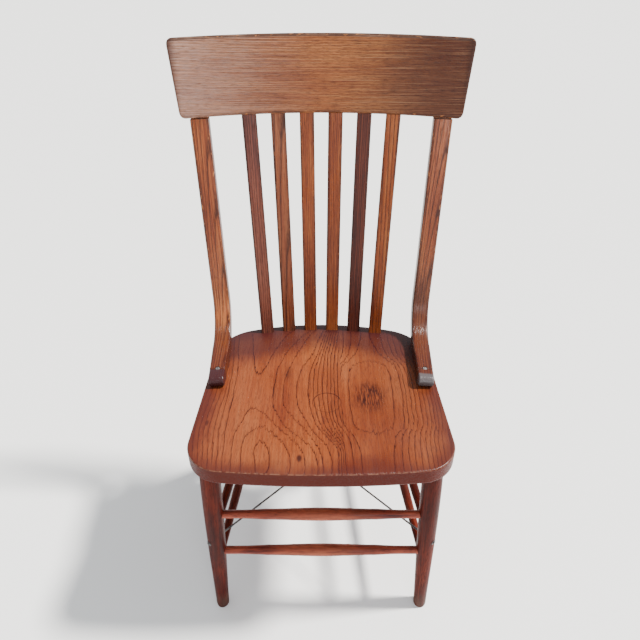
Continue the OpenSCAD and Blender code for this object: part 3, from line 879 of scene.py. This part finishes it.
def strip_material(name, tones, spacing, heart, depth, drift, gloss=0.22, flank=None, ends=(), fade=None):
    """Oak sawn lengthwise. heart is where the tree's middle lies across the piece, in mm; depth and
    drift are how far below its face the heart runs and how that changes along it, which draws
    the pointed arches of flat-sawn wood. gloss is the specular level. flank is half its width in mm,
    where its narrow sides are darker. ends are marks from its lower end up, stains and a greyer nose:
    (length, softness, colour, strength). fade is half its length in mm, over which a painted glare on
    its left half gives way to painted shade on its right half."""
    look = Look(name)
    grain = look.attribute("grain")
    x, y, z = in_mm(look)
    wander = look.noise(grain, (5, 2.6, 5), (2, 8, 1)) - 0.5
    ripple = look.noise(grain, (110, 13, 110), (9, 4, 3)) - 0.5
    feather = look.noise(grain, (900, 30, 900), (3, 3, 3)) - 0.5
    below = z + depth + (y + feather * 14.0) * drift
    across = x - heart + wander * 10.0 + ripple * 1.8
    ring = (across * across + below * below).power(0.5) / spacing
    pale, mid, dark, ink = [wood(*t) for t in tones]
    broad = look.noise(grain, (14, 3, 14), (5, 3, 1), detail=3.0)
    streaks = look.noise(grain, (520, 7, 520), (1, 2, 3), detail=3.0, rough=0.65)
    tone = look.step(broad, 0.3, 0.72) * 0.45 + look.step(streaks, 0.28, 0.72) * 0.55
    colour = look.ramp(tone, [(0.15, dark), (0.5, mid), (0.88, pale)])
    rim = look.number("edge") * 1000.0
    if fade is not None:
        cloud = look.noise(grain, (9, 7, 9), (3, 1, 2), detail=3.0) - 0.5
        place = (y + cloud * fade * 0.6) / fade
        # painted shade, darkening the rail from its middle to its right end
        colour = look.mix(look.step(place, 0.0, 0.9, (0.0, 0.78)), colour, tints["varnish"])
        crackle = look.noise(grain, (950, 60, 950), (6, 6, 2), rough=0.75)
        colour = look.mix(look.step(crackle, 0.5, 0.64, (0.0, 0.55)), colour, ink)
        hairlines = look.noise(grain, (980, 5, 980), (1, 7, 2), rough=0.7)
        # painted glare over the left half, broken into pale flecks along the hairlines and crackle
        rubbed = look.step(hairlines + crackle * 0.5, 0.64, 0.9, (0.35, 0.85))
        rubbed = rubbed * look.step(place, -1.15, 0.05, (1.0, 0.0))
        colour = look.mix(rubbed, colour, tints["rubbed"])
        colour = look.mix(look.step(hairlines, 0.54, 0.66, (0.0, 0.4)), colour, tints["hairline"])
        colour = look.mix(look.step(hairlines, 0.46, 0.34, (0.0, 0.6)), colour, ink)
        corner = look.step(rim + cloud * 3.0, 0.2, 2.4, (0.7, 0.0)) * look.step(x, 20.0, 80.0)
        colour = look.mix(corner, colour, tints["corner"])
        colour = look.mix(look.step(y.size(), fade - 6.0, fade + 8.0, (0.0, 0.75)), colour, ink)
    lines = ring_lines(look, ring, 1.0 / spacing, line=min(1.3, spacing * 0.3))
    breaks = look.noise(grain, (900, 60, 900), (2, 9, 4))
    colour = look.mix(lines * look.step(breaks, 0.18, 0.62, (0.35, 1.0)) * 0.8, colour, ink)
    ticks = pores(look, grain)
    colour = look.mix(ticks * (lines * 0.3 + 0.3), colour, ink)
    if flank is not None:
        flanks = look.step(x.size(), flank - 2.0, flank - 0.3, (0.0, 0.6))
        colour = look.mix(flanks, colour, tints["flank"])
    # darker arrises, broken by bare nicks
    patchy = look.noise(grain, (60, 18, 60), (2, 6, 1), detail=3.0)
    colour = look.mix(look.step(rim, 0.2, 2.2, (0.6, 0.0)) * look.step(patchy, 0.3, 0.6), colour, ink)
    nicks = look.step(look.noise(grain, (300, 90, 300), (2, 6, 1)), 0.6, 0.68)
    bare = look.step(rim, 0.1, 1.2, (0.6, 0.0)) * nicks
    colour = look.mix(bare, colour, pale)
    roughness = varnish(look, grain, (22, 8, 22), ticks, bare)
    for length, softness, tint, strength in ends:
        stained = look.step(y + patchy * softness, length, length + softness, (strength, 0.0))
        colour = look.mix(stained, colour, wood(*tint))
    height = look.noise(grain, (60, 14, 60), detail=3.0) * 0.6 - ticks * 0.6 - lines * 0.35
    return look.finish(Base_Color=colour, Roughness=roughness, Normal=look.bump(height, relief, 0.5),
                       Specular_IOR_Level=gloss)


def stain_material(name, tones, gloss):
    """Dark red stain on turned wood, rubbed through to the grain, worn bare at the foot."""
    look = Look(name)
    grain = look.attribute("grain")
    pale, mid, dark, ink, bare = [wood(*t) for t in tones]
    lengthwise = look.noise(grain, (210, 7, 210), (1, 2, 3), detail=4.0, rough=0.6)
    broad = look.noise(grain, (25, 9, 25), (5, 3, 1), detail=3.0)
    tone = look.step(lengthwise, 0.28, 0.72) * 0.5 + look.step(broad, 0.3, 0.7) * 0.5
    colour = look.ramp(tone, [(0.1, dark), (0.5, mid), (0.92, pale)])
    ticks = pores(look, grain)
    seams = look.step(look.noise(grain, (330, 9, 330), (6, 2, 9), detail=3.0, rough=0.6), 0.54, 0.66)
    colour = look.mix((seams * 0.5).most(ticks * 0.6), colour, ink)
    middle = look.number("worn")
    scuffs = look.step(look.noise(grain, (180, 30, 180), (4, 1, 1), detail=4.0), 0.35, 0.65)
    worn = middle * (scuffs * 0.5 + 0.5)
    colour = look.mix(worn, colour, bare)
    roughness = look.step(broad, 0.3, 0.7, (0.3, 0.46)) + worn * 0.15 + ticks * 0.1
    height = look.noise(grain, (70, 18, 70), detail=3.0) * 0.6 - ticks * 0.6
    return look.finish(Base_Color=colour, Roughness=roughness, Normal=look.bump(height, 0.3 * mm, 0.5),
                       Specular_IOR_Level=gloss)


def steel_material(name, tones):
    """Old steel, dulled with a few rubbed and rusty spots."""
    look = Look(name)
    place = look.node("ShaderNodeTexCoord", out="Object")
    clouds = look.noise(place, (160, 160, 160), detail=4.0, rough=0.6)
    spots = look.step(look.noise(place, (420, 420, 420), (5, 5, 5)), 0.58, 0.7)
    colour = look.ramp(clouds, [(at, srgb(*tone)) for at, tone in zip((0.3, 0.52, 0.75), tones)])
    colour = look.mix(spots * 0.7, colour, srgb(92, 52, 34))
    roughness = look.step(clouds, 0.3, 0.7, (0.55, 0.32)) + spots * 0.3
    return look.finish(Base_Color=colour, Roughness=roughness, Metallic=0.85,
                       Normal=look.bump(clouds, 0.1 * mm, 0.4))


# ---------- build ----------

def section_edge(across, through, half_a, half_t, radius):
    """How far points of a rectangular bar lie from its nearest long arris."""
    return np.maximum(0, np.maximum(half_a - radius - np.abs(across), half_t - radius - np.abs(through)))


# Tones of the upright pieces, which vary from piece to piece; all are raised as painted light, lifting faces
# that the light only grazes
oak_tones = {
    "orange": ((230, 136, 70), (198, 98, 46), (150, 66, 32), (66, 22, 12)),
    "brown": ((200, 118, 72), (172, 90, 54), (128, 60, 40), (60, 22, 16)),
    "purple": ((186, 108, 82), (146, 74, 56), (102, 48, 40), (50, 20, 18)),
    "post": ((246, 158, 92), (210, 110, 58), (148, 64, 34), (56, 18, 12)),
    "dark": ((166, 84, 54), (128, 58, 40), (88, 38, 30), (44, 16, 14)),
    "crest": ((240, 154, 88), (216, 126, 66), (172, 88, 46), (70, 28, 16)),
}
# Each slat's wood: tones, ring spacing, the heart's place and depth in mm, and its drift
slat_woods = [
    ("purple", 3.4, 60, 40, 0.01),
    ("brown", 4.2, 10, 20, 0.02),
    ("orange", 3.2, -46, 10, 0.01),
    ("orange", 2.8, 70, 30, 0.01),
    ("dark", 3.0, -70, 30, 0.01),
    ("orange", 3.8, -28, 30, 0.02),
]
slat_shift = 30   # between the places of one slat and the next in their wood, in mm
turned_shift, turned_length = 0.9, 5   # the same along turned pieces, in metres
foot_wear_h = 50 * mm
rung_wear = {"front": 0.6, "side": 0.2}

seat_look = seat_material()
seat_shape = seat_blank()
for board, name in enumerate(BOARDS):
    mesh = seat_board_mesh(board, seat_shape)
    if name in SIDES:
        mesh = counterbored(mesh, "post_heel_screws", SIDES[name], seat_under)
    seat_attributes(mesh, board)
    piece(f"seat_{name}", mesh, seat_look, [f"seat_board_{name}"])

for i, node in enumerate(SLATS):
    mesh, grain = slat_mesh(node)
    set_attribute(mesh, "edge", section_edge(grain[:, 0], grain[:, 2], slat_w / 2, slat_t / 2, slat_edge_r))
    set_attribute(mesh, "grain", grain + np.array([0, 0, slat_shift * mm * i]))
    tones, spacing, heart, depth, drift = slat_woods[i]
    look = strip_material(f"oak_{node}", oak_tones[tones], spacing, heart, depth - slat_shift * i, drift,
                          flank=slat_w / 2 / mm)
    piece(f"{node}_wood", mesh, look, [node])

mesh = crest_mesh()
grain = crest_grain(coordinates(mesh))
v = grain[:, 0] - crest_h / 2 + crest_rise * (grain[:, 1] / crest_low_half) ** 2
w = grain[:, 2] - crest_t / 2
set_attribute(mesh, "edge", section_edge(v, w, crest_h / 2, crest_t / 2, crest_edge_r))
set_attribute(mesh, "grain", grain)
look = strip_material("oak_crest", oak_tones["crest"], spacing=1.9, heart=190, depth=60, drift=0.01,
                      gloss=0.2, fade=240)
piece("crest_rail_wood", mesh, look, ["crest_rail"])

# Stains on each post's foot and toe, and the right toe's greyer nose: length and softness in mm, colour,
# strength
post_ends = {
    "left": [(160, 60, (84, 32, 22), 0.72), (30, 6, (72, 34, 40), 0.9)],
    "right": [(270, 180, (80, 32, 24), 0.78), (16, 6, (116, 112, 114), 0.85)],
}
for name, side in SIDES.items():
    mesh = counterbored(post_mesh(side), "post_toe_screws", side, seat_top + post_t)
    grain = post_grain(coordinates(mesh), side)
    set_attribute(mesh, "edge", section_edge(grain[:, 0], grain[:, 2], post_w / 2, post_t / 2, post_edge_r))
    set_attribute(mesh, "grain", grain)
    look = strip_material(f"oak_post_{name}", oak_tones["post"], spacing=3.4, heart=12 * side, depth=20,
                          drift=0.03, gloss=0.28, flank=post_w / 2 / mm, ends=post_ends[name])
    piece(f"post_{name}_wood", mesh, look, [f"post_{name}"])

leg_tones = ((138, 54, 34), (106, 36, 24), (76, 25, 20), (40, 14, 12), (116, 86, 74))
rung_tones = ((224, 114, 84), (182, 82, 60), (116, 44, 40), (42, 14, 16), (240, 134, 94))
leg_look = stain_material("stained_leg", leg_tones, gloss=0.05)
rung_look = stain_material("stained_stretcher", rung_tones, gloss=0.16)
wire_look = steel_material("dulled_steel", ((48, 46, 48), (84, 82, 82), (128, 126, 124)))
screw_look = steel_material("rubbed_steel", ((84, 80, 80), (134, 130, 128), (186, 182, 178)))
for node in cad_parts:
    if node.startswith("leg_"):
        mesh, grain = leg_mesh(node)
        set_attribute(mesh, "worn", np.clip(1 - grain[:, 1] / foot_wear_h, 0, 1) ** 0.7)
        piece(f"{node}_wood", mesh, leg_look, [node])
    elif node.startswith("stretcher_"):
        kind = "front" if "front" in node else "side"
        mesh, grain = stretcher_mesh(node, rung_full_r[kind])
        middle = np.clip(1 - np.abs(grain[:, 1] / grain[:, 1].max() - 0.5) / 0.3, 0, 1)
        set_attribute(mesh, "worn", middle * rung_wear[kind])
        # the side stretchers take the legs' darker stain as painted shade, for the shadow under the seat
        look = rung_look if kind == "front" else leg_look
        piece(f"{node}_wood", mesh, look, [node])
    elif node.startswith("brace_wire"):
        mesh, grain = wire_mesh(node)
        piece(f"{node}_steel", mesh, wire_look, [node])
        continue
    else:
        continue
    shift = turned_shift * len(bpy.data.meshes) % turned_length
    set_attribute(mesh, "grain", grain + np.array([0, shift, 0]))
for node in ("brace_washers", "post_toe_screws", "post_heel_screws", "crest_screws"):
    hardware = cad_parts[node]
    hardware.data.materials.clear()
    hardware.data.materials.append(wire_look if node == "brace_washers" else screw_look)


# ---------- floor, light and camera ----------

floor_corners = [(-9, -5, 0), (9, -5, 0), (9, 13, 0), (-9, 13, 0)]
floor_mesh = bpy.data.meshes.new("floor")
floor_mesh.from_pydata(floor_corners, [], [(0, 1, 2, 3)])
floor_look = Look("pale_floor").finish(Base_Color=srgb(240, 240, 238), Roughness=0.7)
floor_mesh.materials.append(floor_look)
floor = placed("floor", floor_mesh)


def lamp(name, kind, place, target, size, strength, colour):
    """A lamp aimed at target; size is a sun's angle or a disc's width."""
    data = bpy.data.lights.new(name, kind)
    data.energy, data.color = strength, colour
    if kind == "SUN":
        data.angle = size
    else:
        data.shape, data.size = "DISK", size
    light = placed(name, data)
    light.location = place
    light.rotation_euler = (Vector(target) - Vector(place)).to_track_quat("-Z", "Y").to_euler()


lamp("key", "SUN", place=(0.75, 0.08, 1.5), target=(0, 0, 0.5), size=math.radians(7), strength=9.4,
     colour=(1, 0.97, 0.93))
lamp("fill", "AREA", place=(0.6, -2.2, 1.3), target=(0, 0.1, 0.8), size=1.0, strength=20,
     colour=(0.96, 0.98, 1))
world = bpy.data.worlds.new("pale_surround")
world.use_nodes = True
surround = world.node_tree.nodes["Background"]
surround.inputs["Color"].default_value = (0.93, 0.96, 1, 1)
surround.inputs["Strength"].default_value = 0.92
bpy.context.scene.world = world

camera_place, look_down = (0, -0.8059, 1.150), math.radians(36.2)
camera_data = bpy.data.cameras.new("camera")
camera_data.lens, camera_data.sensor_width = 31.725, 36
camera_data.shift_x, camera_data.shift_y = -0.0019, 0.007
camera = placed("camera", camera_data)
camera.location = camera_place
camera.rotation_euler = (math.pi / 2 - look_down, 0, 0)
bpy.context.scene.camera = camera
